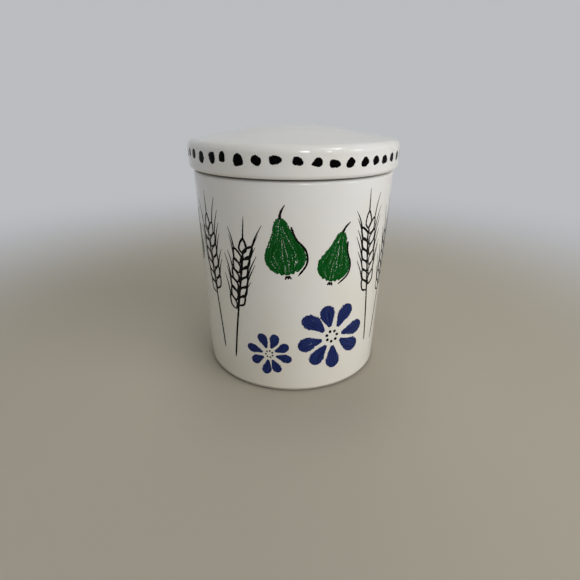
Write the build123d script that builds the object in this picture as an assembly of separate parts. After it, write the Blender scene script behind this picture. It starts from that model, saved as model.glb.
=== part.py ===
"""Ceramic kitchen canister: a tapered jar, a domed cap lid and the seal ring on the lid's flange.

Millimetres, +Z up. The origin is the centre of the foot, on the surface that the canister stands on.
Every piece is a solid of revolution about Z, drawn as a half section in radius and height.
"""
from build123d import *
from math import cos, radians, sin, tan
import os

# Jar: outside
rim_height = 153.55
jar_top_radius = 73.3
jar_foot_radius = 70.1
foot_bevel_height = 3.0
foot_bevel_inset = 0.5
foot_bevel_rounding = 1.0
foot_edge_rounding = 0.8
rim_outer_rounding = 2.4

# Jar: walls, inside and underside
jar_wall = 5.5
jar_floor = 7.0
rim_inner_rounding = 1.0
floor_rounding = 9.0
foot_ring_width = 7.0
foot_recess_depth = 1.8
foot_recess_rounding = 1.2

# Lid: outside
lid_overhang = 2.7
lid_side_height = 18.95
lid_edge_rounding = 2.8
lid_shoulder_rounding = 5.4
dome_slope = 9.5
dome_crown_radius = 227.0

# Lid: underside, with the seat that stands proud of it and the flange that drops into the jar's mouth
seat_width = 3.9
seat_height = 1.0
lid_thickness = 6.0
lid_cavity_rounding = 5.0
flange_wall = 5.2
flange_gap = 1.7
flange_tip_rounding = 1.2

# Flange from the seat down: a plain neck, the seal's groove and the tip below it
flange_neck_height = 3.4
groove_height = 6.0
flange_tip_height = 3.6
groove_depth = 1.8

# Seal ring, stretched over the flange into the groove
seal_fit = 0.08
seal_lip_count = 3
seal_lip_clearance = 0.3
seal_lip_tip_share = 0.25
seal_lip_root_share = 0.65

# Places that several pieces share
lid_radius = jar_top_radius + lid_overhang
mouth_radius = jar_top_radius - jar_wall
flange_outer_radius = mouth_radius - flange_gap
flange_inner_radius = flange_outer_radius - flange_wall
seat_radius = flange_outer_radius + seat_width
lid_edge_z = rim_height + seat_height
groove_top_z = rim_height - flange_neck_height
groove_bottom_z = groove_top_z - groove_height
flange_tip_z = groove_bottom_z - flange_tip_height
groove_floor_radius = flange_outer_radius - groove_depth
wall_lean = (jar_top_radius - jar_foot_radius) / rim_height


def jar_inside_radius(z):
    """Radius of the jar's tapered inside wall at a height above the table."""
    return mouth_radius - wall_lean * (rim_height - z)


def dome_points(offset):
    """Top, middle and edge of the crown's arc, on a dome that lies an offset below the lid's top."""
    slope = radians(dome_slope)
    crown = dome_crown_radius - offset
    shoulder_z = lid_edge_z + lid_side_height
    crown_edge = dome_crown_radius * sin(slope)
    apex_z = shoulder_z + (lid_radius - crown_edge) * tan(slope) + dome_crown_radius * (1 - cos(slope))
    centre_z = apex_z - dome_crown_radius
    top = (0, centre_z + crown)
    middle = (crown * sin(slope / 2), centre_z + crown * cos(slope / 2))
    edge = (crown * sin(slope), centre_z + crown * cos(slope))
    return top, middle, edge


def on_slope(edge, radius):
    """The point at a radius on the straight slope that runs down and out from the crown's edge."""
    return (radius, edge[1] - (radius - edge[0]) * tan(radians(dome_slope)))


def softened(face, corners):
    """The section with each listed corner rounded: a list of (corner, radius) pairs."""
    for corner, radius in corners:
        nearest = sorted(face.vertices(), key=lambda v: (Vector(*corner) - Vector(v.X, v.Y)).length)[0]
        face = fillet([nearest], radius)
    return face


def turned(face):
    """The solid that the half section sweeps about the canister's axis."""
    upright = Plane.XZ * face
    return revolve(upright, Axis.Z)


def canister_body():
    """The jar: a bevelled foot ring round a shallow recess, tapered walls and a flat rim."""
    floor_z = foot_recess_depth + jar_floor
    recess_radius = jar_foot_radius - foot_ring_width
    foot_outer = (jar_foot_radius - foot_bevel_inset, 0)
    bevel_top = (jar_foot_radius + wall_lean * foot_bevel_height, foot_bevel_height)
    rim_outer = (jar_top_radius, rim_height)
    rim_inner = (mouth_radius, rim_height)
    floor_corner = (jar_inside_radius(floor_z), floor_z)
    recess_corner = (recess_radius, foot_recess_depth)
    foot_inner = (recess_radius, 0)
    section = make_face(Polyline(
        foot_outer, bevel_top, rim_outer, rim_inner, floor_corner, (0, floor_z),
        (0, foot_recess_depth), recess_corner, foot_inner, close=True,
    ).edges())
    return turned(softened(section, [
        (foot_outer, foot_edge_rounding),
        (bevel_top, foot_bevel_rounding),
        (rim_outer, rim_outer_rounding),
        (rim_inner, rim_inner_rounding),
        (floor_corner, floor_rounding),
        (recess_corner, foot_recess_rounding),
    ]))


def lid():
    """The cap: a soft-edged side, a low dome, a flat seat ring on the rim and a grooved flange."""
    top, top_middle, top_edge = dome_points(0)
    roof, roof_middle, roof_edge = dome_points(lid_thickness)
    shoulder = on_slope(top_edge, lid_radius)
    lower_edge = (lid_radius, lid_edge_z)
    tip_outer = (flange_outer_radius, flange_tip_z)
    tip_inner = (flange_inner_radius, flange_tip_z)
    roof_corner = on_slope(roof_edge, flange_inner_radius)
    outline = Polyline(
        top_edge, shoulder, lower_edge,
        (seat_radius, lid_edge_z), (seat_radius, rim_height), (flange_outer_radius, rim_height),
        (flange_outer_radius, groove_top_z), (groove_floor_radius, groove_top_z),
        (groove_floor_radius, groove_bottom_z), (flange_outer_radius, groove_bottom_z),
        tip_outer, tip_inner, roof_corner, roof_edge,
    )
    crown_top = ThreePointArc(top, top_middle, top_edge)
    crown_roof = ThreePointArc(roof_edge, roof_middle, roof)
    section = make_face([*outline.edges(), crown_roof, Line(roof, top), crown_top])
    return turned(softened(section, [
        (shoulder, lid_shoulder_rounding),
        (lower_edge, lid_edge_rounding),
        (tip_outer, flange_tip_rounding),
        (tip_inner, flange_tip_rounding),
        (roof_corner, lid_cavity_rounding),
    ]))


def lid_seal():
    """The soft ring: a band that lies in the flange's groove, with thin lips out towards the jar."""
    band_inner = groove_floor_radius + seal_fit
    band_outer = flange_outer_radius
    band_top_z = groove_top_z - seal_fit
    lip_radius = jar_inside_radius(groove_bottom_z) - seal_lip_clearance
    pitch = (band_top_z - groove_bottom_z) / seal_lip_count
    half_tip = pitch * seal_lip_tip_share / 2
    half_root = pitch * seal_lip_root_share / 2
    points = [(band_inner, band_top_z), (band_inner, groove_bottom_z), (band_outer, groove_bottom_z)]
    for lip in range(seal_lip_count):
        middle_z = groove_bottom_z + (lip + 0.5) * pitch
        points.append((band_outer, middle_z - half_root))
        points.append((lip_radius, middle_z - half_tip))
        points.append((lip_radius, middle_z + half_tip))
        points.append((band_outer, middle_z + half_root))
    points.append((band_outer, band_top_z))
    return turned(make_face(Polyline(*points, close=True).edges()))


os.makedirs("parts", exist_ok=True)
for make in (canister_body, lid, lid_seal):
    solid = make()
    export_step(solid, f"parts/{make.__name__}.step")
    box = solid.bounding_box()
    print(f"{make.__name__}: {solid.volume / 1000:.1f} cm3, z {box.min.Z:.2f} to {box.max.Z:.2f} mm")
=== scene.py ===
# %% [markdown]
# # A painted kitchen canister
# This lesson dresses a ceramic canister: a tapered jar, an overhanging domed lid and a soft seal ring.
# The solids arrive already built, at real size and in metres, with the table at height zero. Blender
# adds what the solids lack: hand-made shapes, glaze, bare clay, brush marks and light. Nothing here may
# move or resize the solids.

# %% Load the frame
import random
from math import atan2, ceil, cos, pi, radians, sin, sqrt, tan

import bmesh
import bpy
from mathutils import Euler, Matrix, Vector, noise


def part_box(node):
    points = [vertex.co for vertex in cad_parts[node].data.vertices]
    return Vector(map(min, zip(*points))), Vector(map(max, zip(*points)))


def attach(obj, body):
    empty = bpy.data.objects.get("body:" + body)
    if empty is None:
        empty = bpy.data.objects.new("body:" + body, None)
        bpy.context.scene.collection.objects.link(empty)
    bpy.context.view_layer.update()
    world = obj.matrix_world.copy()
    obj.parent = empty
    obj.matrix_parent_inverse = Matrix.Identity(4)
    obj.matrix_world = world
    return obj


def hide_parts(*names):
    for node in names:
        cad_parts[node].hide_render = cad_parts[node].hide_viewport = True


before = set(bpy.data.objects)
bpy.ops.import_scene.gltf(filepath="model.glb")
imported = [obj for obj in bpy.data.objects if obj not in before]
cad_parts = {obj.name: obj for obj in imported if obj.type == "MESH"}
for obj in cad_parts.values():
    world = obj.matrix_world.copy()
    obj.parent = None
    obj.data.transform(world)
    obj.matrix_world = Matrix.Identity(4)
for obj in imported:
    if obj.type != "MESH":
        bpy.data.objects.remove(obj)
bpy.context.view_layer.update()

# %% [markdown]
# ## Sizes
# The large sizes are read from the frame, so the dressing follows the solids. Wall thickness and
# roundings can't be read from a box, so they are named in metres, each where it is first needed.

# %% Sizes that the pieces share
MM = 0.001
jar_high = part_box("canister_body")[1]
lid_low, lid_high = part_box("lid")
seal_low, seal_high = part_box("lid_seal")

rim_z = jar_high.z
crown_z = lid_high.z
flange_tip_z = lid_low.z
lid_radius = lid_high.x
lid_overhang = 2.7 * MM
jar_taper = 3.2 * MM
jar_wall = 5.5 * MM
jar_top_radius = lid_radius - lid_overhang
jar_foot_radius = jar_top_radius - jar_taper
mouth_radius = jar_top_radius - jar_wall
wall_lean = (jar_top_radius - jar_foot_radius) / rim_z
print(f"rim {rim_z / MM:.1f} mm up, lid radius {lid_radius / MM:.1f} mm, crown {crown_z / MM:.1f} mm up")


def jar_radius(z):
    """Radius of the jar's outside wall at a height."""
    return jar_foot_radius + wall_lean * z


# %% [markdown]
# ## Camera
# The photograph is a phone picture taken from a little above the lid. Its outlines fix the lens and the
# place of the camera when both are counted in lid radii. The picture is square, so one focal length in
# pixels gives the lens for Blender's 36 mm sensor.

# %% Camera at the photograph's viewing angle
PICTURE = 580
FOCAL_PIXELS = 402.6
AXIS_COLUMN = 292.7
SENSOR_WIDTH = 36.0
camera_distance = 4.131 * lid_radius
camera_height = 2.521 * lid_radius
look_down = radians(24.02)
lean_right = radians(0.27)
turn_left = atan2(AXIS_COLUMN - PICTURE / 2, FOCAL_PIXELS)

camera_data = bpy.data.cameras.new("phone_camera")
camera_data.sensor_width = SENSOR_WIDTH
camera_data.lens = SENSOR_WIDTH * FOCAL_PIXELS / PICTURE
camera = bpy.data.objects.new("phone_camera", camera_data)
bpy.context.scene.collection.objects.link(camera)
camera.location = (0, -camera_distance, camera_height)
aim = Euler((pi / 2 - look_down, 0, turn_left)).to_matrix()
camera.rotation_euler = (aim @ Matrix.Rotation(lean_right, 3, "Z")).to_euler()
bpy.context.scene.camera = camera
bpy.context.scene.view_settings.view_transform = "Standard"
print(f"lens {camera_data.lens:.2f} mm, {camera_distance:.3f} m away, {camera_height:.3f} m up")

# %% [markdown]
# ## Floor and light
# A glossy pot shows its surroundings, so the studio is plain: a pale floor that curves up into a round
# backdrop, a dim even sky and a few soft lamps. The floor could be a flat plane, but then its far edge
# would show as a line behind the canister. One swept sheet has no such edge.

# %% Floor and backdrop in one sweep
FLOOR_RADIUS = 2.6
COVE_RADIUS = 0.9
BACKDROP_HEIGHT = 1.7
FLOOR_DROP = 0.05 * MM
FLOOR_SIDES = 96
COVE_STEPS = 12


def smooth_object(name, mesh):
    """A finished mesh as a smooth-shaded object in the scene."""
    data = bpy.data.meshes.new(name)
    bmesh.ops.recalc_face_normals(mesh, faces=mesh.faces)
    mesh.to_mesh(data)
    mesh.free()
    data.polygons.foreach_set("use_smooth", [True] * len(data.polygons))
    made = bpy.data.objects.new(name, data)
    bpy.context.scene.collection.objects.link(made)
    return made


def studio_sweep():
    """A round floor with a coved edge and an upright backdrop, open at the top."""
    mesh = bmesh.new()
    flat_radius = FLOOR_RADIUS - COVE_RADIUS
    profile = [(flat_radius, 0.0)]
    for step in range(1, COVE_STEPS + 1):
        angle = pi / 2 * step / COVE_STEPS
        profile.append((flat_radius + COVE_RADIUS * sin(angle), COVE_RADIUS * (1 - cos(angle))))
    profile.append((FLOOR_RADIUS, BACKDROP_HEIGHT))
    turns = [2 * pi * k / FLOOR_SIDES for k in range(FLOOR_SIDES)]
    rings = []
    for radius, height in profile:
        z = height - FLOOR_DROP
        rings.append([mesh.verts.new((radius * sin(t), radius * cos(t), z)) for t in turns])
    mesh.faces.new(rings[0])
    for low, high in zip(rings, rings[1:]):
        for k in range(FLOOR_SIDES):
            mesh.faces.new((low[k], low[k - 1], high[k - 1], high[k]))
    return smooth_object("studio_sweep", mesh)


floor = studio_sweep()
print("floor:", len(floor.data.polygons), "faces")

# %% [markdown]
# One large soft lamp stands low on the right, where a window would be. A lamp overhead and weak ones on
# the left and behind fill the shade, as a ceiling and a room would. These four only light: reflections
# don't find them. Four small panes do the reverse: they only show as reflections and give the glaze its
# crisp glints. All stay at a plain level, so that a colour renders about as it is written.

# %% Lamps
LAMP_REACH = 1.35
LAMP_COLOUR = (1.0, 0.987, 0.970)
LAMP_AIM_SHARE = 0.6
LAMPS = (
    # name, azimuth and elevation in degrees, width and height in metres, watts, what it does
    ("window", 50, 20, 1.50, 0.90, 14.6, "light"),
    ("ceiling", 200, 84, 0.70, 0.60, 4.2, "light"),
    ("room", -88, 8, 1.20, 0.40, 2.3, "light"),
    ("back", 180, 36, 0.80, 0.50, 2.2, "light"),
    ("pane_front", 12, 30, 0.18, 0.38, 3.2, "glint"),
    ("pane_high", 55, 51, 0.40, 0.14, 3.2, "glint"),
    ("pane_low", 37, 28, 0.08, 0.30, 0.9, "glint"),
    ("pane_side", 70, 25, 0.26, 0.42, 1.4, "glint"),
)


def soft_lamp(name, azimuth, elevation, width, height, watts, use):
    """A rectangular lamp aimed at the canister, placed by the direction that its light comes from."""
    middle = Vector((0, 0, rim_z * LAMP_AIM_SHARE))
    around, up = radians(azimuth), radians(elevation)
    data = bpy.data.lights.new(name, "AREA")
    data.shape = "RECTANGLE"
    data.size = width
    data.size_y = height
    data.energy = watts
    data.color = LAMP_COLOUR
    lamp = bpy.data.objects.new(name, data)
    lamp.visible_diffuse = use == "light"
    lamp.visible_glossy = use == "glint"
    bpy.context.scene.collection.objects.link(lamp)
    across = LAMP_REACH * cos(up)
    lamp.location = middle + Vector((across * sin(around), -across * cos(around), LAMP_REACH * sin(up)))
    lamp.rotation_euler = (middle - lamp.location).to_track_quat("-Z", "Y").to_euler()


for lamp_row in LAMPS:
    soft_lamp(*lamp_row)
print("lamps:", [row[0] for row in LAMPS])

# %% [markdown]
# ## Node tools
# Materials here share a few effects. Each effect is a node group, built once, with named sockets. A few
# small helpers keep the wiring short: one makes a group with its sockets, one makes a material, and one
# adds a node and sets its values.


# %% Helpers that make groups, materials and nodes
def new_group(name, inputs, outputs):
    """An empty shader group with named number sockets; inputs are (name, value) pairs."""
    group = bpy.data.node_groups.new(name, "ShaderNodeTree")
    for label, value in inputs:
        socket = group.interface.new_socket(label, in_out="INPUT", socket_type="NodeSocketFloat")
        socket.default_value = value
    for label in outputs:
        group.interface.new_socket(label, in_out="OUTPUT", socket_type="NodeSocketFloat")
    return group, group.nodes.new("NodeGroupInput").outputs, group.nodes.new("NodeGroupOutput").inputs


def new_material(name):
    """A node material, its tree and its one shader."""
    material = bpy.data.materials.new(name)
    material.use_nodes = True
    return material, material.node_tree, material.node_tree.nodes["Principled BSDF"]


def plug(tree, node, key, value):
    """Fills one input socket, with a link from another socket or with a plain value."""
    if isinstance(value, bpy.types.NodeSocket):
        tree.links.new(value, node.inputs[key])
    else:
        node.inputs[key].default_value = value


def add(tree, kind, settings=None, **sockets):
    """A node with its properties set and its named input sockets filled."""
    node = tree.nodes.new(kind)
    for key, value in (settings or {}).items():
        setattr(node, key, value)
    for label, value in sockets.items():
        plug(tree, node, label.replace("_", " "), value)
    return node


print("tree helpers ready")

# %% [markdown]
# The nodes that come up again and again get a short form each: a smooth fade, a sum, a mix of two colours
# and a noise. Each gives back a socket, so one can be written inside another, as in a formula.


# %% Short forms of the nodes used most
def fade(tree, value, low, high, to_low=0.0, to_high=1.0):
    """A value mapped smoothly from one range to another, and held at both ends."""
    node = add(tree, "ShaderNodeMapRange", {"interpolation_type": "SMOOTHSTEP", "clamp": True})
    for index, number in enumerate((value, low, high, to_low, to_high)):
        plug(tree, node, index, number)
    return node.outputs["Result"]


def sums(tree, operation, *values):
    """The result of one Math node."""
    node = add(tree, "ShaderNodeMath", {"operation": operation})
    for index, value in enumerate(values):
        plug(tree, node, index, value)
    return node.outputs[0]


def mixed(tree, share, first, second):
    """Two colours mixed by a mask."""
    node = add(tree, "ShaderNodeMix", {"data_type": "RGBA"})
    for index, value in ((0, share), (6, first), (7, second)):
        plug(tree, node, index, value)
    return node.outputs[2]


def grains(tree, place, scale, detail):
    """The strength of a noise texture, from 0 to 1."""
    return add(tree, "ShaderNodeTexNoise", Vector=place, Scale=scale, Detail=detail).outputs[0]


print("node helpers ready")

# %% [markdown]
# The first material is the stage's own: a warm pale floor that fades into a cooler, paler backdrop a
# little way behind the canister. Lamps would leave bright pools on a backdrop, so what the camera and
# the glaze's reflections see of it is one even tone, while the floor near the canister keeps its shadow.
# The sky above the backdrop works the same way: it lights dimly, and shows as the same even tone.

# %% Floor material and sky
SKY_LEVEL = 0.20
SKY_COLOUR = (0.96, 0.98, 1.0, 1)
FLOOR_WARM = (0.45, 0.416, 0.340, 1)
FLOOR_ROUGH = 0.8
FLOOR_SHINE = 0.2
FLOOR_FADE = (0.22, 0.80)
BACKDROP_COOL = (0.60, 0.61, 0.63, 1)
BACKDROP_SEEN = (0.495, 0.507, 0.53, 1)


def looked_at(tree):
    """A mask of the rays that look, from a camera, mirror or glass, and not of those that light."""
    ray = add(tree, "ShaderNodeLightPath").outputs
    seen = sums(tree, "MAXIMUM", ray["Is Camera Ray"], ray["Is Glossy Ray"])
    return sums(tree, "MAXIMUM", seen, ray["Is Transmission Ray"])


def shown_as(tree, lit, even, share, end):
    """Joins a lit shader to a tree's end, with an even one in its place by a mask."""
    blend = add(tree, "ShaderNodeMixShader", Fac=share)
    tree.links.new(lit.outputs[0], blend.inputs[1])
    tree.links.new(even.outputs[0], blend.inputs[2])
    tree.links.new(blend.outputs[0], tree.nodes[end].inputs["Surface"])


def stage_paint():
    """Warm floor near the canister, one even cool tone further away."""
    material, tree, shader = new_material("stage_paint")
    place = add(tree, "ShaderNodeTexCoord").outputs["Object"]
    away = add(tree, "ShaderNodeVectorMath", {"operation": "LENGTH"}, Vector=place).outputs["Value"]
    far = fade(tree, away, *FLOOR_FADE)
    tree.links.new(mixed(tree, far, FLOOR_WARM, BACKDROP_COOL), shader.inputs["Base Color"])
    shader.inputs["Roughness"].default_value = FLOOR_ROUGH
    shader.inputs["Specular IOR Level"].default_value = FLOOR_SHINE
    even = add(tree, "ShaderNodeEmission", Color=BACKDROP_SEEN)
    share = sums(tree, "MULTIPLY", looked_at(tree), far)
    shown_as(tree, shader, even, share, "Material Output")
    return material


def studio_sky():
    """A world that lights dimly and shows as the backdrop's tone."""
    world = bpy.data.worlds.new("studio_sky")
    world.use_nodes = True
    tree = world.node_tree
    dim = tree.nodes["Background"]
    dim.inputs["Color"].default_value = SKY_COLOUR
    dim.inputs["Strength"].default_value = SKY_LEVEL
    even = add(tree, "ShaderNodeBackground", Color=BACKDROP_SEEN)
    shown_as(tree, dim, even, looked_at(tree), "World Output")
    return world


floor.data.materials.append(stage_paint())
bpy.context.scene.world = studio_sky()
print("stage:", floor.data.materials[0].name, "and", bpy.context.scene.world.name)

# %% [markdown]
# ## Glaze skin
# Fired glaze is never a perfect mirror. It has a faint orange peel, a tone that drifts, and here and
# there a pinhole or a speck of iron. Towards the foot the tone turns warmer and darker: partly because
# the glaze is thinner there, and partly as painted shade and a painted warm glow from the floor. All of
# that could be painted by hand; noise at three sizes and a fade with height do it for every glazed
# surface at once.

# %% The glaze skin group
SPECK_EDGE = (0.03, 0.07)
DRIFT_RANGE = (0.32, 0.68)
PEEL_RANGE = (0.25, 0.75)
RISE_SHARE = 0.6
PATCH_SHARE = 0.4
PIT_DEPTH = 0.6


def glaze_skin_group():
    """Tone, bump height, roughness and specks of a fired glaze."""
    group, given, out = new_group(
        "glaze_skin",
        [("Peel Scale", 260.0), ("Tone Scale", 22.0), ("Speck Scale", 150.0), ("Speck Share", 0.012),
         ("Thin Shaded Height", 0.0), ("Thick Height", 0.15), ("Gloss", 0.03), ("Dull", 0.08)],
        ["Tone", "Height", "Roughness", "Speck"])
    place = add(group, "ShaderNodeTexCoord").outputs["Object"]
    height = add(group, "ShaderNodeSeparateXYZ", Vector=place).outputs["Z"]
    # Warmer and darker towards the foot: partly thinner glaze, partly painted shade and painted floor
    # glow.
    rise = fade(group, height, given["Thin Shaded Height"], given["Thick Height"])
    peel = grains(group, place, given["Peel Scale"], 2.0)
    drift = grains(group, place, given["Tone Scale"], 3.0)
    cells = add(group, "ShaderNodeTexVoronoi", Vector=place, Scale=given["Speck Scale"])
    chance = add(group, "ShaderNodeSeparateColor", Color=cells.outputs["Color"]).outputs[0]
    rare = sums(group, "LESS_THAN", chance, given["Speck Share"])
    dot = fade(group, cells.outputs["Distance"], *SPECK_EDGE, 1.0, 0.0)
    speck = sums(group, "MULTIPLY", rare, dot)
    patch = fade(group, drift, *DRIFT_RANGE, 0.0, PATCH_SHARE)
    group.links.new(sums(group, "MULTIPLY_ADD", rise, RISE_SHARE, patch), out["Tone"])
    group.links.new(sums(group, "MULTIPLY_ADD", speck, -PIT_DEPTH, peel), out["Height"])
    group.links.new(fade(group, peel, *PEEL_RANGE, given["Gloss"], given["Dull"]), out["Roughness"])
    group.links.new(speck, out["Speck"])
    return group


glaze_skin = glaze_skin_group()
print("group", glaze_skin.name, [s.name for s in glaze_skin.interface.items_tree])

# %% [markdown]
# ## Bare clay
# Before firing, the potter wipes the glaze off wherever the piece would stick to the kiln shelf, which
# leaves matt clay on the foot and on the lid's seat. The wiped edge wavers, because it is done with a
# sponge. The group marks what lies between two heights and outside a radius, with a noisy edge. A
# second mask marks what lies below a set height, where the clay is darkened as painted shade: the shade
# in the gap between lid and jar and in the crevice under the foot.

# %% The wiped band group
SPONGE_SCALE = 70.0
SWEEP_SCALE = 14.0
GRAIN_SCALE = 1500.0
SPONGE_SHARE = 0.3
SWEEP_SHARE = 1.4


def wiped_band_group():
    """Masks of bare clay and of its darkened part, which is painted shade, and the grain of the clay."""
    group, given, out = new_group(
        "wiped_band",
        [("Low", -1.0), ("High", 0.001), ("Inner Radius", 0.0), ("Waver", 0.0008), ("Fade", 0.0003),
         ("Stain Top", 0.001), ("Stain Fade", 0.001)],
        ["Bare", "Grain", "Shade"])
    place = add(group, "ShaderNodeTexCoord").outputs["Object"]
    split = add(group, "ShaderNodeSeparateXYZ", Vector=place).outputs
    height = split["Z"]
    flat = add(group, "ShaderNodeCombineXYZ", X=split["X"], Y=split["Y"]).outputs[0]
    radius = add(group, "ShaderNodeVectorMath", {"operation": "LENGTH"}, Vector=flat).outputs["Value"]
    sponge = grains(group, place, SPONGE_SCALE, 2.0)
    sweep = grains(group, place, SWEEP_SCALE, 1.0)
    hand = sums(group, "MULTIPLY_ADD", sponge, SPONGE_SHARE, sums(group, "MULTIPLY", sweep, SWEEP_SHARE))
    centred = sums(group, "SUBTRACT", hand, (SPONGE_SHARE + SWEEP_SHARE) / 2)
    shifted = sums(group, "MULTIPLY_ADD", centred, given["Waver"], height)
    above = sums(group, "SUBTRACT", shifted, given["Low"])
    below = sums(group, "SUBTRACT", given["High"], shifted)
    inside = fade(group, sums(group, "MINIMUM", above, below), 0.0, given["Fade"])
    outside = sums(group, "GREATER_THAN", radius, given["Inner Radius"])
    # Clay below this height is darkened: painted shade.
    over_painted_shade = sums(group, "SUBTRACT", height, given["Stain Top"])
    group.links.new(sums(group, "MULTIPLY", inside, outside), out["Bare"])
    group.links.new(grains(group, place, GRAIN_SCALE, 2.0), out["Grain"])
    group.links.new(fade(group, over_painted_shade, 0.0, given["Stain Fade"], 1.0, 0.0), out["Shade"])
    return group


wiped_band = wiped_band_group()
print("group", wiped_band.name, [s.name for s in wiped_band.interface.items_tree])

# %% [markdown]
# ## White glaze
# The jar and the lid share one recipe: warm white glaze over pale earthenware. They differ only in where
# the clay is bare and in how far up the bare clay is darkened as painted shade: on the jar only in the
# crevice where the foot meets the table, on the lid over the whole seat, for the dark line between lid
# and jar. So one function makes both. Base colour and roughness come from the groups; the bump is
# shallow, because a glaze fills its own hollows.

# %% White glaze on the jar and the lid
GLAZE_THICK = (0.765, 0.765, 0.755, 1)
# The tone at the foot is warmer and darker: partly thinner glaze, partly painted shade and a painted warm
# glow from the floor.
GLAZE_THIN_AND_SHADED = (0.735, 0.70, 0.605, 1)
SPECK_BROWN = (0.34, 0.28, 0.21, 1)
CLAY_PALE = (0.40, 0.36, 0.30, 1)
# Darkened clay as painted shade: the gap between lid and jar, and the crevice under the foot's edge.
CLAY_PAINTED_SHADE = (0.15, 0.13, 0.105, 1)
CLAY_ROUGH = 0.8
PEEL_STRENGTH = 0.04
PEEL_DEPTH = 0.6 * MM


def surfaced(tree, shader, colour, rough, height, strength, depth):
    """Joins a colour, a roughness and the height of a bump to a shader."""
    bump = add(tree, "ShaderNodeBump", Strength=strength, Distance=depth, Height=height)
    tree.links.new(colour, shader.inputs["Base Color"])
    tree.links.new(rough, shader.inputs["Roughness"])
    tree.links.new(bump.outputs["Normal"], shader.inputs["Normal"])


def white_glaze(name, bare_low, bare_high, bare_from, waver, painted_shade_top):
    """Warm white glaze, with bare clay between two heights and outside a radius."""
    material, tree, shader = new_material(name)
    skin = add(tree, "ShaderNodeGroup", {"node_tree": glaze_skin}).outputs
    band = add(tree, "ShaderNodeGroup", {"node_tree": wiped_band}, Low=bare_low, High=bare_high,
               Inner_Radius=bare_from, Waver=waver, Stain_Top=painted_shade_top).outputs
    glaze = mixed(tree, skin["Tone"], GLAZE_THIN_AND_SHADED, GLAZE_THICK)
    flecked = mixed(tree, skin["Speck"], glaze, SPECK_BROWN)
    # Bare clay below the set height is darkened as painted shade.
    clay = mixed(tree, band["Shade"], CLAY_PALE, CLAY_PAINTED_SHADE)
    colour = mixed(tree, band["Bare"], flecked, clay)
    rough = fade(tree, band["Bare"], 0.0, 1.0, skin["Roughness"], CLAY_ROUGH)
    height = sums(tree, "MULTIPLY_ADD", band["Grain"], band["Bare"], skin["Height"])
    surfaced(tree, shader, colour, rough, height, PEEL_STRENGTH, PEEL_DEPTH)
    return material


BELOW_ALL = -1.0
foot_bare_height = 2.9 * MM
foot_bare_width = 7.2 * MM
foot_waver = 1.6 * MM
# The foot's lowest 0.7 mm of clay is darkened: painted shade in the crevice at the table.
foot_painted_shade_top = 0.7 * MM
seat_height = 1.0 * MM
seat_bare_spare = 0.4 * MM
seat_bare_inset = 2.0 * MM
seat_waver = 0.2 * MM
lid_edge_z = rim_z + seat_height
jar_glaze = white_glaze("jar_white_glaze", BELOW_ALL, foot_bare_height, jar_foot_radius - foot_bare_width,
                        foot_waver, foot_painted_shade_top)
# The lid's whole bare seat is darkened: painted shade in the gap between lid and jar.
lid_glaze = white_glaze("lid_white_glaze", rim_z - seat_bare_spare, lid_edge_z + seat_bare_spare,
                        mouth_radius - seat_bare_inset, seat_waver, painted_shade_top=crown_z)
print("materials", jar_glaze.name, lid_glaze.name)

# %% [markdown]
# ## Turned shapes
# The canister's pieces are solids of revolution, so each starts as a half section: a few corners, each
# with its rounding. A bevel modifier could round them later, but one list of corners keeps every size
# in sight, and the points come out where they are wanted.

# %% Half sections
ROUND_STEP = radians(11)
RUN_STEP = 4.0 * MM


def rounded(before, here, after, rounding):
    """Points along the arc that rounds one corner."""
    back = (before - here).normalized()
    ahead = (after - here).normalized()
    half = back.angle(ahead) / 2
    centre = here + (back + ahead).normalized() * rounding / sin(half)
    start = here + back * rounding / tan(half)
    sweep = pi - 2 * half
    side = 1 if back.cross(ahead) < 0 else -1
    count = max(ceil(sweep / ROUND_STEP), 2)
    turns = [Matrix.Rotation(side * sweep * step / count, 2) for step in range(count + 1)]
    return [centre + turn @ (start - centre) for turn in turns]


def section(corners):
    """Points along a half section. Each corner is (radius, height, rounding); long runs are divided."""
    spots = [Vector(c[:2]) for c in corners]
    path = [spots[0]]
    for before, here, after, corner in zip(spots, spots[1:], spots[2:], corners[1:]):
        rounding = corner[2]
        path.extend(rounded(before, here, after, rounding) if rounding else [here])
    path.append(spots[-1])
    divided = [path[0]]
    for start, end in zip(path, path[1:]):
        count = max(ceil((end - start).length / RUN_STEP), 1)
        divided.extend(start.lerp(end, step / count) for step in range(1, count + 1))
    return divided


print(f"sections: straight runs are divided every {RUN_STEP / MM:.0f} mm")

# %% [markdown]
# A jar cast in a plaster mould has since been touched by hand: it is a shade out of round, with soft
# ripples from sponging. A screw modifier would give perfect circles, so the rings are laid by code, and
# a small drift is added to the outside. Highlights then break as they do on real ware.

# %% Drift and turning
TURNS = 288
ON_AXIS = 1e-6
WAVES_ROUND = (2, 3, 4, 5, 7, 9, 11)
WAVES_UP = (15, 70)
WAVE_SHARES = (0.5, 1.0)
FINE_WAVE_POWER = 0.7


def ripples(seed, count, amount):
    """A drift of the surface in and out: a few slow waves round and up the piece."""
    dice = random.Random(seed)
    waves = []
    for _ in range(count):
        around = dice.choice(WAVES_ROUND)
        up = dice.uniform(*WAVES_UP)
        size = amount * dice.uniform(*WAVE_SHARES) / around ** FINE_WAVE_POWER
        waves.append((around, up, size, dice.uniform(0, 2 * pi), dice.uniform(0, 2 * pi)))

    def drift(angle, z):
        return sum(a * sin(k * angle + p) * cos(m * z + q) for k, m, a, p, q in waves)
    return drift


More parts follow.
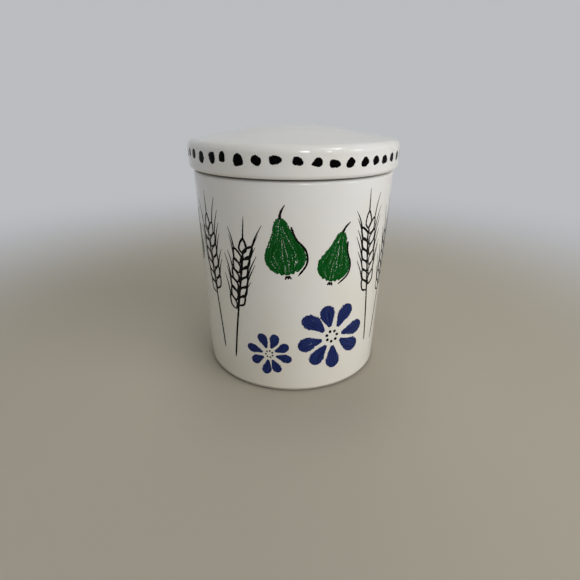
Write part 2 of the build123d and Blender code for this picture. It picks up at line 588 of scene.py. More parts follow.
def turned(profile, drift=None, closed=False):
    """Rings of points about the axis, joined by faces. Points on the axis close the ends."""
    mesh = bmesh.new()
    rings = []
    for radius, height in profile:
        if radius < ON_AXIS:
            rings.append([mesh.verts.new((0, 0, height))])
            continue
        ring = []
        for k in range(TURNS):
            angle = 2 * pi * k / TURNS
            r = radius + (drift(angle, radius, height) if drift else 0)
            ring.append(mesh.verts.new((r * sin(angle), -r * cos(angle), height)))
        rings.append(ring)
    pairs = list(zip(rings, rings[1:]))
    if closed:
        pairs.append((rings[-1], rings[0]))
    for low, high in pairs:
        for k in range(TURNS):
            below = [low[k], low[k - 1]] if len(low) > 1 else low
            above = [high[k - 1], high[k]] if len(high) > 1 else high
            mesh.faces.new(below + above)
    return mesh


print("turning:", TURNS, "points to a ring")

# %% [markdown]
# Every mesh becomes a piece in the same way: shading is smooth except at sharp edges, and the piece rides
# on one of the bodies, so that it moves with that body when the lid is lifted or turned.

# %% Pieces that ride on a body
SHARP_ANGLE = radians(40)


def new_piece(name, mesh, material, body):
    """A finished mesh as an object that rides on a body."""
    piece = smooth_object(name, mesh)
    piece.data.set_sharp_from_angle(angle=SHARP_ANGLE)
    piece.data.materials.append(material)
    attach(piece, body)
    return piece


# %% [markdown]
# ## The jar
# The jar's half section runs from the recess under the foot, round the foot ring and its bevel, up the
# wall, over the rim and down inside to the floor. Only the outside drifts: the rim has to stay flat for
# the lid.

# %% Turn the jar
foot_bevel_height = 3.0 * MM
foot_bevel_inset = 0.5 * MM
foot_bevel_rounding = 1.0 * MM
foot_edge_rounding = 1.4 * MM
foot_ring_width = 7.0 * MM
foot_inner_rounding = 0.5 * MM
recess_depth = 1.8 * MM
recess_rounding = 1.2 * MM
rim_outer_rounding = 2.4 * MM
rim_inner_rounding = 1.0 * MM
jar_floor = 7.0 * MM
floor_rounding = 9.0 * MM
calm_foot = 8 * MM
calm_rim = 6 * MM
drift_depth = 3.0 * MM
jar_ripple = 0.16 * MM
floor_z = recess_depth + jar_floor
recess_radius = jar_foot_radius - foot_ring_width
jar_drift = ripples(seed=3, count=9, amount=jar_ripple)


def jar_outside(angle, radius, height):
    """Drift on the outside wall, dying away at the foot and at the rim."""
    if radius < jar_radius(height) - drift_depth:
        return 0.0
    calm = max(min(height / calm_foot, (rim_z - height) / calm_rim, 1.0), 0.0)
    return jar_drift(angle, height) * calm


jar_section = section([
    (0, recess_depth, 0),
    (recess_radius, recess_depth, recess_rounding),
    (recess_radius, 0, foot_inner_rounding),
    (jar_foot_radius - foot_bevel_inset, 0, foot_edge_rounding),
    (jar_radius(foot_bevel_height), foot_bevel_height, foot_bevel_rounding),
    (jar_top_radius, rim_z, rim_outer_rounding),
    (mouth_radius, rim_z, rim_inner_rounding),
    (mouth_radius - wall_lean * (rim_z - floor_z), floor_z, floor_rounding),
    (0, floor_z, 0),
])
jar = new_piece("jar_shell", turned(jar_section, jar_outside), jar_glaze, "jar")
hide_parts("canister_body")
print("jar:", len(jar.data.vertices), "points")

# %% [markdown]
# ## The lid
# The lid is a cap with an upright side, soft edges and a low crown: a straight slope that meets a large
# arc at the top. Under it a narrow seat ring stands proud, so a thin dark line of shadow shows all round
# between lid and jar. Inside that are the flange with the seal's groove, and the hollow roof.

# %% Sizes of the lid
lid_side_height = 18.95 * MM
lid_shoulder_rounding = 5.4 * MM
lid_edge_rounding = 2.8 * MM
lid_thickness = 6.0 * MM
lid_cavity_rounding = 5.0 * MM
dome_slope = radians(9.5)
crown_radius = 227.0 * MM
CROWN_STEPS = 12
flange_gap = 1.7 * MM
flange_wall = 5.2 * MM
flange_neck = 3.4 * MM
flange_tip_rounding = 1.2 * MM
seat_width = 3.9 * MM
groove_depth = 1.8 * MM
seal_play = 0.03 * MM
flange_outer = mouth_radius - flange_gap
flange_inner = flange_outer - flange_wall
seat_radius = flange_outer + seat_width
groove_top_z = rim_z - flange_neck
groove_bottom_z = seal_low.z - seal_play
groove_floor = flange_outer - groove_depth
print(f"flange {flange_outer / MM:.1f} mm and seat {seat_radius / MM:.1f} mm in radius")

# %% [markdown]
# The lid's drift keeps to its upright side and its shoulder and fades out towards the crown. The crown's
# arc is worked out at two depths: the top, and the roof of the hollow.

# %% Turn the lid
drift_reach = 7 * MM
drift_fade = 5 * MM
calm_edge = 4 * MM
flat_edge = 0.1 * MM
lid_ripple = 0.14 * MM
lid_drift = ripples(seed=8, count=9, amount=lid_ripple)


def lid_outside(angle, radius, height):
    """Drift on the lid's upright side and shoulder."""
    if radius < lid_radius - drift_reach or height < lid_edge_z + flat_edge:
        return 0.0
    calm = min((height - lid_edge_z) / calm_edge, (radius - lid_radius + drift_reach) / drift_fade, 1.0)
    return lid_drift(angle, height) * calm


def crown(offset, inner_first):
    """Corners along the crown's arc, from the axis out or from the edge in."""
    radius = crown_radius - offset
    steps = [dome_slope * k / CROWN_STEPS for k in range(CROWN_STEPS + 1)]
    arc = [(radius * sin(a), crown_z - crown_radius + radius * cos(a), 0) for a in steps]
    return arc if inner_first else arc[::-1]


roof = crown(lid_thickness, inner_first=False)
roof_corner_z = roof[0][1] - (flange_inner - roof[0][0]) * tan(dome_slope)
lid_section = section([
    *crown(0, inner_first=True),
    (lid_radius, lid_edge_z + lid_side_height, lid_shoulder_rounding),
    (lid_radius, lid_edge_z, lid_edge_rounding),
    (seat_radius, lid_edge_z, 0),
    (seat_radius, rim_z, 0),
    (flange_outer, rim_z, 0),
    (flange_outer, groove_top_z, 0),
    (groove_floor, groove_top_z, 0),
    (groove_floor, groove_bottom_z, 0),
    (flange_outer, groove_bottom_z, 0),
    (flange_outer, flange_tip_z, flange_tip_rounding),
    (flange_inner, flange_tip_z, flange_tip_rounding),
    (flange_inner, roof_corner_z, lid_cavity_rounding),
    *roof,
])
lid = new_piece("lid_cap", turned(lid_section, lid_outside), lid_glaze, "lid")
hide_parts("lid")
print("lid:", len(lid.data.vertices), "points")

# %% [markdown]
# ## The seal
# A ring of soft silicone sits in the flange's groove, with three thin lips that reach for the jar's wall.
# It only shows when the lid is lifted. Silicone is satin and a little cloudy, and it holds dust.

# %% Silicone
SILICONE_THIN = (0.58, 0.60, 0.59, 1)
SILICONE_CLOUDY = (0.70, 0.72, 0.70, 1)
DUST_GREY = (0.50, 0.48, 0.44, 1)
SILICONE_PEEL_STRENGTH = 0.06
SILICONE_PEEL_DEPTH = 0.3 * MM
SILICONE_SCATTER = 0.25
SILICONE_SCATTER_DEPTH = 2.0 * MM


def silicone():
    """Satin, slightly see-through silicone with a little dust."""
    material, tree, shader = new_material("seal_silicone")
    skin = add(tree, "ShaderNodeGroup", {"node_tree": glaze_skin}, Peel_Scale=900.0, Tone_Scale=60.0,
               Speck_Scale=500.0, Speck_Share=0.12, Gloss=0.38, Dull=0.55).outputs
    body = mixed(tree, skin["Tone"], SILICONE_THIN, SILICONE_CLOUDY)
    dusty = mixed(tree, skin["Speck"], body, DUST_GREY)
    shader.inputs["Subsurface Weight"].default_value = SILICONE_SCATTER
    shader.inputs["Subsurface Scale"].default_value = SILICONE_SCATTER_DEPTH
    surfaced(tree, shader, dusty, skin["Roughness"], skin["Height"],
             SILICONE_PEEL_STRENGTH, SILICONE_PEEL_DEPTH)
    return material


seal_silicone = silicone()
print("material", seal_silicone.name)

# %% [markdown]
# The ring is turned like the rest, but its section is a closed loop that never meets the axis. Each lip
# has four corners, wide at its root and narrow at its tip, and a little rounding so that its edges catch
# the light.

# %% Turn the seal
LIPS = 3
LIP_ROOT_SHARE = 0.33
LIP_TIP_SHARE = 0.12
lip_rounding = 0.15 * MM
seal_fit = 0.08 * MM
seal_inner = groove_floor + seal_fit
lip_pitch = (seal_high.z - seal_low.z) / LIPS
seal_corners = [(seal_inner, seal_high.z, 0), (seal_inner, seal_low.z, 0), (flange_outer, seal_low.z, 0)]
half_root = LIP_ROOT_SHARE * lip_pitch
half_tip = LIP_TIP_SHARE * lip_pitch
for lip in range(LIPS):
    lip_z = seal_low.z + (lip + 0.5) * lip_pitch
    seal_corners.append((flange_outer, lip_z - half_root, lip_rounding))
    seal_corners.append((seal_high.x, lip_z - half_tip, lip_rounding))
    seal_corners.append((seal_high.x, lip_z + half_tip, lip_rounding))
    seal_corners.append((flange_outer, lip_z + half_root, lip_rounding))
seal_corners.append((flange_outer, seal_high.z, 0))
seal_mesh = turned(section(seal_corners), closed=True)
seal = new_piece("seal_ring", seal_mesh, seal_silicone, "seal")
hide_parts("lid_seal")
print("seal:", len(seal.data.vertices), "points")

# %% [markdown]
# ## Brush load
# A brush leaves more than a flat colour: streaks along the stroke, a broken edge, and pale flecks where
# it runs dry. Each painted mark below stores, on its points, how far along and across the stroke they
# lie. The group reads that and gives two masks: where the paint covers, and how the streaks run.

# %% The brush load group
STREAK_STRETCH = 0.07
STREAK_SHARE = 0.45
FLECK_SHARE = 0.55
STREAK_RANGE = (0.3, 0.7)
RIM_FROM = 0.72
WET_LIMIT = 0.78
DRY_SHARE = 0.4
COVER_EDGE = 0.04


def brush_load_group():
    """Where a brush mark covers, and how its streaks run."""
    group, given, out = new_group(
        "brush_load",
        [("Dryness", 0.2), ("Edge", 0.2), ("Streak Scale", 1100.0), ("Fleck Scale", 1500.0)],
        ["Cover", "Streak"])
    mark = add(group, "ShaderNodeAttribute", {"attribute_name": "stroke"}).outputs["Vector"]
    split = add(group, "ShaderNodeSeparateXYZ", Vector=mark).outputs
    slow = sums(group, "MULTIPLY", split["X"], STREAK_STRETCH)
    lane = add(group, "ShaderNodeCombineXYZ", X=slow, Y=split["Y"]).outputs[0]
    streak = grains(group, lane, given["Streak Scale"], 3.0)
    place = add(group, "ShaderNodeTexCoord").outputs["Object"]
    fleck = grains(group, place, given["Fleck Scale"], 3.0)
    hole = sums(group, "MULTIPLY_ADD", streak, STREAK_SHARE, sums(group, "MULTIPLY", fleck, FLECK_SHARE))
    rim = fade(group, split["Z"], RIM_FROM, 1.0)
    wet = sums(group, "MULTIPLY_ADD", given["Dryness"], -DRY_SHARE, WET_LIMIT)
    limit = sums(group, "SUBTRACT", wet, sums(group, "MULTIPLY", rim, given["Edge"]))
    cover = fade(group, sums(group, "SUBTRACT", limit, hole), 0.0, COVER_EDGE)
    group.links.new(cover, out["Cover"])
    group.links.new(fade(group, streak, *STREAK_RANGE), out["Streak"])
    return group


brush_load = brush_load_group()
print("group", brush_load.name, [s.name for s in brush_load.interface.items_tree])

# %% [markdown]
# ## Paints
# Three colours go on before the clear glaze, so all three shine much like the white around them. Where a
# mark runs dry the white shows through, which is why the paint mixes back to the same glaze colour. Black
# is dense in the dabs and thinner in the lines, cobalt shows its streaks, and the green is the driest.
# The pigments dull the shine.


# %% Black, cobalt and green
def paint(name, deep, pale, dryness, edge, shine):
    """A glossy paint between two tones, which mixes back to white glaze where the brush ran dry."""
    material, tree, shader = new_material(name)
    skin = add(tree, "ShaderNodeGroup", {"node_tree": glaze_skin}).outputs
    load = add(tree, "ShaderNodeGroup", {"node_tree": brush_load}, Dryness=dryness, Edge=edge).outputs
    # The white around the paint has the same tone, darker towards the foot as painted shade.
    glaze = mixed(tree, skin["Tone"], GLAZE_THIN_AND_SHADED, GLAZE_THICK)
    pigment = mixed(tree, load["Streak"], deep, pale)
    colour = mixed(tree, load["Cover"], glaze, pigment)
    shader.inputs["Specular IOR Level"].default_value = shine
    surfaced(tree, shader, colour, skin["Roughness"], skin["Height"], PEEL_STRENGTH, PEEL_DEPTH)
    return material


black_dab = paint("black_dab", (0.0006, 0.0006, 0.0006, 1), (0.0015, 0.0015, 0.0014, 1),
                  dryness=0.0, edge=0.10, shine=0.03)
black_line = paint("black_line", (0.002, 0.002, 0.002, 1), (0.008, 0.008, 0.007, 1),
                   dryness=0.14, edge=0.16, shine=0.06)
cobalt = paint("cobalt", (0.006, 0.012, 0.070, 1), (0.020, 0.034, 0.140, 1),
               dryness=0.20, edge=0.22, shine=0.08)
green = paint("green", (0.001, 0.054, 0.002, 1), (0.005, 0.100, 0.018, 1),
              dryness=0.32, edge=0.26, shine=0.08)
print("paints:", [m.name for m in (black_dab, black_line, cobalt, green)])

# %% [markdown]
# ## A brush stroke
# Every mark is the same thing: a path over the surface, a width that swells and thins along it, and
# sides that wander. It could be a picture on the glaze, but a picture needs an image file; here it is a
# very thin closed film of paint that follows the surface. So the first need is a way to find a point on
# the jar's wall or on the lid's side from two flat lengths: round it and up it.


# %% Places on the jar and the lid
def on_jar(along, up, lift):
    """A point on the jar's wall: metres round it from the front, height, and metres proud of it."""
    angle = along / jar_top_radius
    radius = jar_radius(up) + jar_outside(angle, jar_radius(up), up) + lift
    return radius * sin(angle), -radius * cos(angle), up


def on_lid(along, up, lift):
    """A point on the lid's side, which bends in where the shoulder's rounding starts."""
    angle = along / lid_radius
    bend_z = lid_edge_z + lid_side_height - lid_shoulder_rounding * tan((pi / 2 - dome_slope) / 2)
    rise = min(max(up - bend_z, 0.0), lid_shoulder_rounding)
    inward = lid_shoulder_rounding - sqrt(lid_shoulder_rounding ** 2 - rise ** 2)
    radius = lid_radius - inward + lid_outside(angle, lid_radius, up) + lift
    return radius * sin(angle), -radius * cos(angle), up


print("front of the jar's rim:", [round(value, 4) for value in on_jar(0, rim_z, 0)])

# %% [markdown]
# A hand draws a curve through a few points without stopping. The path does the same: a smooth curve
# through the points, then even steps along it, so that the film's rings lie at equal distances. A short
# list of (length, width) pairs says how the brush swells and thins on the way.

# %% Paths and widths
FINE_STEPS = 24
FEWEST_STEPS = 6
TINY = 1e-9


def smooth_path(points, step):
    """Evenly spaced points on a smooth curve through a few given points, and its length."""
    spots = [2 * points[0] - points[1], *points, 2 * points[-1] - points[-2]]
    fine = []
    for a, b, c, d in zip(spots, spots[1:], spots[2:], spots[3:]):
        for k in range(FINE_STEPS):
            t = k / FINE_STEPS
            fine.append(0.5 * (2 * b + (c - a) * t + (2 * a - 5 * b + 4 * c - d) * t ** 2
                               + (3 * b - a - 3 * c + d) * t ** 3))
    fine.append(points[-1])
    reach = [0.0]
    for start, end in zip(fine, fine[1:]):
        reach.append(reach[-1] + (end - start).length)
    count = max(ceil(reach[-1] / step), FEWEST_STEPS)
    even, k = [], 0
    for number in range(count + 1):
        target = reach[-1] * number / count
        while k < len(fine) - 2 and reach[k + 1] < target:
            k += 1
        share = (target - reach[k]) / max(reach[k + 1] - reach[k], TINY)
        even.append(fine[k].lerp(fine[k + 1], share))
    return even, reach[-1]


def belly_at(belly, share):
    """The share of the full width at a share of the length, from a few (length, width) pairs."""
    for (start, low), (end, high) in zip(belly, belly[1:]):
        if share <= end:
            return low + (high - low) * (share - start) / (end - start)
    return belly[-1][1]


print("paths:", FINE_STEPS, "fine steps between two points")

# %% [markdown]
# The film itself is a strip with a low, rounded section, whose edges are sunk into the glaze. Noise makes
# each side wander on its own. Later layers lie a little higher, so that no two films fight for one place.

# %% Films of paint
FILM = 0.05 * MM
FILM_SECTION = (
    # across and up, as shares of the half width and of the film's lift
    (-1, -1), (-0.93, 0.7), (-0.7, 1), (-0.35, 1), (0, 1), (0.35, 1), (0.7, 1), (0.93, 0.7), (1, -1),
)
LINE_SECTION = ((-1, -1), (-0.8, 0.8), (0, 1), (0.8, 0.8), (1, -1))
WIDE_STROKE = 2 * MM
STROKE_STEP = 0.5 * MM
LAYER_SHARE = 0.3
RAGGED_PER_METRE = 900.0
SEED_STRIDE = 7.3
MARK_STRIDE = 0.61
LEFT_LANE = 5.0
RIGHT_LANE = 25.0


def new_film():
    """An empty mesh whose points can say where they lie on their stroke."""
    mesh = bmesh.new()
    mesh.verts.layers.float_vector.new("stroke")
    return mesh


def stroke(mesh, place, points, width, belly, seed, ragged=0.14, layer=0, step=STROKE_STEP):
    """Adds one brush mark to a film: a closed strip along a path, lifted a little more for each layer."""
    mark = mesh.verts.layers.float_vector["stroke"]
    path, length = smooth_path(points, step)
    profile = FILM_SECTION if width > WIDE_STROKE else LINE_SECTION
    lift = FILM * (1 + LAYER_SHARE * layer)
    rings = []
    for k, spot in enumerate(path):
        share = k / (len(path) - 1)
        ahead = path[min(k + 1, len(path) - 1)] - path[max(k - 1, 0)]
        side = Vector((ahead.y, -ahead.x)).normalized()
        half = width / 2 * belly_at(belly, share)
        wander = share * length * RAGGED_PER_METRE
        ring = []
        for across, rise in profile:
            lane = LEFT_LANE if across < 0 else RIGHT_LANE
            shake = noise.noise(Vector((wander, seed * SEED_STRIDE, lane)))
            reach = across * half * (1 + ragged * shake)
            flat = spot + side * reach
            vert = mesh.verts.new(place(flat.x, flat.y, rise * lift))
            vert[mark] = (share * length + seed * MARK_STRIDE, reach, abs(across))
            ring.append(vert)
        rings.append(ring)
    for low, high in zip(rings, rings[1:]):
        for k in range(len(profile)):
            mesh.faces.new((low[k - 1], low[k], high[k], high[k - 1]))
    mesh.faces.new(rings[0])
    mesh.faces.new(rings[-1][::-1])


print(f"films: {FILM / MM:.2f} mm thick")

# %% [markdown]
# ## Dabs round the lid
# A row of black dabs runs round the lid's side, each one put on with a single touch of a loaded brush.
# The ones at the front are placed by the pixels where the photograph shows them, and each has its own
# direction: the brush lands round or blunt and leaves a point where it lifts.

# %% Dabs that the photograph shows
ROUND_SHARES = ((0, 0.15), (0.05, 0.5), (0.18, 0.86), (0.5, 1), (0.82, 0.86), (0.95, 0.5), (1, 0.15))
DROP_SHARES = ((0, 0.15), (0.05, 0.52), (0.18, 0.88), (0.38, 1), (0.62, 0.82), (0.85, 0.42), (1, 0.08))
BLUNT_SHARES = ((0, 0.45), (0.04, 0.75), (0.16, 0.97), (0.36, 1), (0.66, 0.9), (0.85, 0.66),
                (0.96, 0.34), (1, 0.1))
DABS_SEEN = (
    # pixel column and row, length and width in millimetres, direction in degrees, form
    (190, 152, 5.4, 5.6, 88, ROUND_SHARES),
    (194, 153.5, 6.2, 6.4, 96, ROUND_SHARES),
    (201.5, 157, 7.4, 6.4, 94, ROUND_SHARES),
    (211.5, 158, 7.0, 6.3, 277, BLUNT_SHARES),
    (222, 156.5, 6.4, 5.2, 84, BLUNT_SHARES),
    (238, 159.5, 7.2, 7.2, 97, BLUNT_SHARES),
    (256, 160, 6.6, 6.0, 150, ROUND_SHARES),
    (275.5, 160.5, 7.5, 5.4, 3, BLUNT_SHARES),
    (298, 162, 6.4, 5.2, -20, BLUNT_SHARES),
    (317, 162.3, 6.9, 5.6, 202, DROP_SHARES),
    (335.5, 164.3, 7.2, 4.9, -6, BLUNT_SHARES),
    (350.5, 162.8, 6.4, 5.4, 222, BLUNT_SHARES),
    (365, 162, 6.3, 5.6, 218, BLUNT_SHARES),
    (376.5, 159.8, 5.2, 6.2, 104, BLUNT_SHARES),
    (385, 159, 5.2, 6.6, 94, BLUNT_SHARES),
    (392, 157, 5.6, 6.0, 70, BLUNT_SHARES),
)
DAB_BOW_SHARE = 0.08
DAB_RAGGED = 0.2
FINE_STROKE_STEP = 0.3 * MM


def lid_place_at(column, row):
    """Angle and height where a pixel's line of sight meets the lid's upright side."""
    sight = Vector((column - PICTURE / 2, PICTURE / 2 - row, -FOCAL_PIXELS))
    sight = camera.rotation_euler.to_matrix() @ sight
    start = camera.location
    a = sight.x ** 2 + sight.y ** 2
    b = start.x * sight.x + start.y * sight.y
    c = start.x ** 2 + start.y ** 2 - lid_radius ** 2
    reach = (-b - sqrt(max(b * b - a * c, 0))) / a
    spot = start + sight * reach
    return atan2(spot.x, -spot.y), spot.z


def dab(film, angle, up, length, width, direction, form, seed):
    """One touch of the brush on the lid's side."""
    centre = Vector((angle * lid_radius, up))
    along = Vector((cos(radians(direction)), sin(radians(direction)))) * length / 2
    bow = Vector((-along.y, along.x)) * DAB_BOW_SHARE
    points = [centre - along, centre + bow, centre + along]
    stroke(film, on_lid, points, width, form, seed, ragged=DAB_RAGGED, step=FINE_STROKE_STEP)


dabs = new_film()
angles = []
for number, (column, row, length, width, direction, form) in enumerate(DABS_SEEN):
    angle, up = lid_place_at(column, row)
    angles.append(angle)
    dab(dabs, angle, up, length * MM, width * MM, direction, form, number)
print("dabs seen:", len(angles))

# %% [markdown]
# The rest of the ring can't be seen, so it is dealt from the same ranges by a seeded die: a place with a
# little stray, a form, a height, a size and a direction. All the dabs are one film of black.

# %% Dabs on the far side
DAB_STEP = radians(8.5)
DAB_STRAY = 0.02
DAB_HEIGHT = 164.8 * MM
DAB_RISE_MM = 0.9
DAB_LENGTHS_MM = (5.6, 7.3)
DAB_WIDTHS_MM = (4.6, 6.0)
DAB_DIRECTIONS = (0, 90, 200, 220, 280)
DAB_TWIST = 20
FIRST_UNSEEN_SEED = 40
dice = random.Random(21)
gap = 2 * pi - angles[-1] + angles[0]
unseen = round(gap / DAB_STEP) - 1
for number in range(unseen):
    angle = angles[-1] + gap * (number + 1) / (unseen + 1) + dice.uniform(-DAB_STRAY, DAB_STRAY)
    form = dice.choice((ROUND_SHARES, DROP_SHARES, BLUNT_SHARES))
    up = DAB_HEIGHT + dice.uniform(-DAB_RISE_MM, DAB_RISE_MM) * MM
    length = dice.uniform(*DAB_LENGTHS_MM) * MM
    width = dice.uniform(*DAB_WIDTHS_MM) * MM
    direction = dice.choice(DAB_DIRECTIONS) + dice.uniform(-DAB_TWIST, DAB_TWIST)
    dab(dabs, angle, up, length, width, direction, form, FIRST_UNSEEN_SEED + number)
new_piece("lid_dabs", dabs, black_dab, "lid")
print("dabs:", len(DABS_SEEN) + unseen)

# %% [markdown]
# ## Painted motifs
# The jar's wall carries a loose country pattern, scattered all the way round: ears of wheat in black
# line, green pears and cobalt flowers. Each motif is drawn in its own small upright frame, in shares of
# its size, then leaned, scaled and laid on the wall. The die is seeded, so each run paints the same.

# %% Forms that the motifs share
LINE_SHARES = ((0, 0.55), (0.05, 1), (0.92, 0.9), (1, 0.4))
FLICK_SHARES = ((0, 1), (0.15, 1), (0.6, 0.7), (1, 0.25))


class Easel:
    """An upright place on the jar's wall, where a motif's points are given as shares of its size."""

    def __init__(self, along, up, size, lean):
        self.origin = Vector((along, up)) * MM
        self.size = size * MM
        self.turn = Matrix.Rotation(radians(lean), 2)

    def at(self, *shares):
        """Places on the wall, in metres round it and up it."""
        return [self.origin + self.turn @ Vector(share) * self.size for share in shares]


print("easel ready")

# %% [markdown]
# A flower is one fat stroke for each petal, laid from the middle outwards, round a ring of black dots.

# %% Cobalt flowers
PETAL_SHARES = ((0, 0.2), (0.2, 0.5), (0.55, 1), (0.8, 0.95), (0.94, 0.6), (1, 0.2))
PETALS = 8
PETAL_WIDTH_SHARE = 0.235
PETAL_ROOT_SHARE = 0.15
PETAL_BEND_SHARE = 0.32
PETAL_TIP_SHARES = (0.47, 0.53)
PETAL_SWAY_SHARE = 0.035
PETAL_TURN = 0.09
DOTS = 7
DOT_WIDTH_SHARE = 0.045
DOT_RING_SHARE = 0.075
DOT_ENDS_SHARES = (0.75, 1.35)
FLOWERS = (
    # millimetres round the wall and up it, size in millimetres, lean in degrees, seed
    (30, 45, 54, 10, 100),
    (-17, 32, 34, 30, 140),
    (133, 45, 54, 0, 180),
    (-118, 45, 54, 20, 220),
    (236, 108, 40, 5, 260),
)


def flower(name, along, up, size, lean, seed):
    """One flower: a film of petals and a film of dots."""
    easel = Easel(along, up, size, lean)
    dice = random.Random(seed)
    petals, seeds = new_film(), new_film()
    for k in range(PETALS):
        turn = 2 * pi * k / PETALS + dice.uniform(-PETAL_TURN, PETAL_TURN)
        ray = Vector((cos(turn), sin(turn)))
        side = Vector((-ray.y, ray.x)) * dice.uniform(-PETAL_SWAY_SHARE, PETAL_SWAY_SHARE)
        points = easel.at(ray * PETAL_ROOT_SHARE, ray * PETAL_BEND_SHARE + side,
                          ray * dice.uniform(*PETAL_TIP_SHARES))
        stroke(petals, on_jar, points, PETAL_WIDTH_SHARE * easel.size, PETAL_SHARES, seed + k,
               ragged=0.1, layer=k % 2)
    for k in range(DOTS):
        turn = 2 * pi * k / DOTS
        spot = Vector((cos(turn), sin(turn))) * DOT_RING_SHARE
        points = easel.at(spot * DOT_ENDS_SHARES[0], spot, spot * DOT_ENDS_SHARES[1])
        stroke(seeds, on_jar, points, DOT_WIDTH_SHARE * easel.size, ROUND_SHARES, seed + 20 + k,
               step=FINE_STROKE_STEP)
    new_piece(name, petals, cobalt, "jar")
    new_piece(name + "_seeds", seeds, black_dab, "jar")


for number, flower_row in enumerate(FLOWERS, 1):
    flower(f"jar_flower_{number}", *flower_row)
print("flowers:", len(FLOWERS))

# %% [markdown]
# A pear is five strokes from the neck down into the bulb, side by side, so the green shows its streaks.
# A few quick black lines add the stem, the eye underneath and one shaded side.

# %% Green pears
PEAR_SHARES = ((0, 0.35), (0.08, 0.52), (0.3, 0.62), (0.62, 1), (0.86, 0.85), (1, 0.4))
PEAR_LANE_SHARE = 0.21
stem_width = 2.1 * MM
shade_width = 1.8 * MM
eye_width = 1.5 * MM
PAIR_OF_PEARS = (
    # millimetres along and up from the pair's place, size in millimetres, lean in degrees, seed's step
    (-14, 0, 40, 8, 0),
    (15, -6, 36, -12, 30),
)
PEARS = (
    # millimetres round the wall and up it, seed
    (11, 93, 300),
    (132, 93, 400),
    (-113, 95, 500),
    (-226, 28, 600),
)


def pear(bodies, lines, along, up, size, lean, seed):
    """One pear, with its green in one film and its black lines in another."""
    easel = Easel(along, up, size, lean)
    for lane in range(-2, 3):
        dip = 0.012 * lane ** 2
        points = easel.at((0.03 * lane, 0.98 - dip), (0.05 * lane, 0.75), (0.11 * lane, 0.46),
                          (0.125 * lane, 0.27), (0.07 * lane, 0.03 + dip))
        stroke(bodies, on_jar, points, PEAR_LANE_SHARE * easel.size, PEAR_SHARES, seed + lane,
               ragged=0.2, layer=abs(lane))
    stem = easel.at((0.0, 0.96), (0.03, 1.06), (0.11, 1.17))
    shade = easel.at((0.16, 0.82), (0.21, 0.62), (0.345, 0.4), (0.335, 0.18), (0.17, -0.01))
    stroke(lines, on_jar, stem, stem_width, FLICK_SHARES, seed + 5, ragged=0.3, layer=3)
    stroke(lines, on_jar, shade, shade_width, LINE_SHARES, seed + 6, ragged=0.4, layer=3)
    for k in (-1, 0, 1):
        eye = easel.at((0.02 * k, 0.02), (0.035 * k, -0.015), (0.055 * k, -0.045))
        stroke(lines, on_jar, eye, eye_width, LINE_SHARES, seed + 8 + k, ragged=0.3, layer=3)


def pears(name, along, up, seed):
    """A pair of pears that lean apart."""
    bodies, lines = new_film(), new_film()
    for aside, above, size, lean, seed_step in PAIR_OF_PEARS:
        pear(bodies, lines, along + aside, up + above, size, lean, seed + seed_step)
    new_piece(name, bodies, green, "jar")
    new_piece(name + "_lines", lines, black_line, "jar")


for number, pear_row in enumerate(PEARS, 1):
    pears(f"jar_pears_{number}", *pear_row)
print("pairs of pears:", len(PEARS))

# %% [markdown]
# An ear of wheat is drawn in line only: a bowed stalk, pairs of outlined grains that climb it, and a long
# thin awn from the tip of each.

# %% Black-line wheat
GRAIN_PAIRS = 6
GRAIN_TILTS = (24, 32)
GRAIN_LENGTH_SHARES = (0.115, 0.13)
GRAIN_WIDTH_SHARES = (0.029, 0.034)
GRAIN_BELLY_SHARE = 0.4
GRAIN_LINES_MM = (1.6, 2.0)
EAR_FROM_SHARE = 0.46
EAR_LENGTH_SHARE = 0.48
STALK_BEND_POWER = 1.5
AWN_FLARES = (0.5, 1.0)
AWN_BEND_SHARE = 0.05
AWN_SHARES = (0.085, 0.11)
FROM_STALK_SHARE = 0.012
WHEAT_RAGGED = 0.35
stalk_width = 2.0 * MM
awn_width = 1.4 * MM
PAIR_OF_EARS = (
    # millimetres along and up from the pair's place, size in millimetres, lean in degrees, bow as a
    # share of the size, seed's step
    (-6, 4, 96, 3, -0.06, 0),
    (6, 0, 90, -5, 0.06, 90),
)
WHEAT = (
    # millimetres round the wall and up it, seed
    (-53, 22, 700),
    (72, 26, 900),
    (188, 22, 1100),
    (-174, 26, 1300),
)


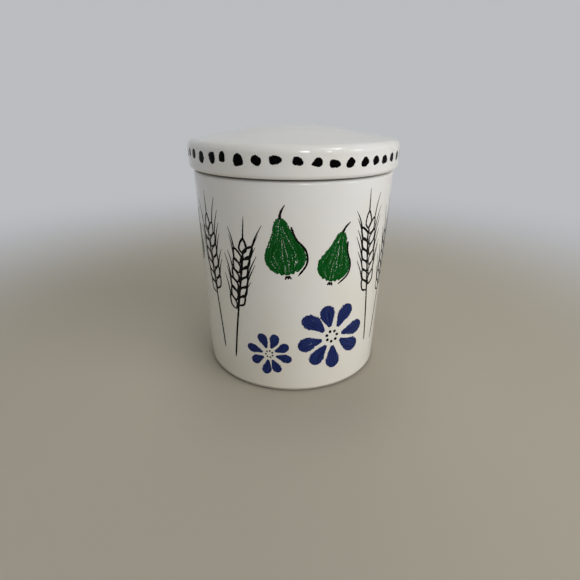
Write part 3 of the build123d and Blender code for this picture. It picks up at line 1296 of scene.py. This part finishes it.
def wheat_ear(film, along, up, size, lean, bow, seed):
    """One ear: the stalk, then each grain's outline and its awn."""
    easel = Easel(along, up, size, lean)
    dice = random.Random(seed)
    stalk = easel.at((0, 0), (bow * 0.3, 0.35), (bow, 0.93))
    stroke(film, on_jar, stalk, stalk_width, LINE_SHARES, seed, ragged=0.4)
    for k in range(2 * GRAIN_PAIRS + 1):
        height = EAR_FROM_SHARE + EAR_LENGTH_SHARE * k / (2 * GRAIN_PAIRS)
        hand = 0 if k == 2 * GRAIN_PAIRS else (-1, 1)[k % 2]
        out = Vector((hand * FROM_STALK_SHARE, 0))
        root = Vector((bow * height ** STALK_BEND_POWER, height)) + out
        tilt = hand * radians(dice.uniform(*GRAIN_TILTS))
        ahead = Vector((sin(tilt), cos(tilt)))
        side = Vector((ahead.y, -ahead.x))
        long, wide = dice.uniform(*GRAIN_LENGTH_SHARES), dice.uniform(*GRAIN_WIDTH_SHARES)
        belly = root + ahead * long * GRAIN_BELLY_SHARE
        tip = root + ahead * long
        loop = easel.at(root, belly + side * wide, tip, belly - side * wide, root)
        flare = ahead + Vector((0, dice.uniform(*AWN_FLARES)))
        bend = tip + flare * AWN_BEND_SHARE
        awn = easel.at(tip, bend, tip + flare * dice.uniform(*AWN_SHARES) + out)
        grain_line = dice.uniform(*GRAIN_LINES_MM) * MM
        stroke(film, on_jar, loop, grain_line, LINE_SHARES, seed + k, ragged=WHEAT_RAGGED, layer=1)
        stroke(film, on_jar, awn, awn_width, FLICK_SHARES, seed + 40 + k, ragged=WHEAT_RAGGED, layer=2)


def wheat(name, along, up, seed):
    """Two ears that stand side by side and bow apart."""
    film = new_film()
    for aside, above, size, lean, bow, seed_step in PAIR_OF_EARS:
        wheat_ear(film, along + aside, up + above, size, lean, bow, seed + seed_step)
    new_piece(name, film, black_line, "jar")


for number, wheat_row in enumerate(WHEAT, 1):
    wheat(f"jar_wheat_{number}", *wheat_row)
print("pairs of ears:", len(WHEAT))

# %% [markdown]
# ## Closing

# %% Closing
print("dressing done")
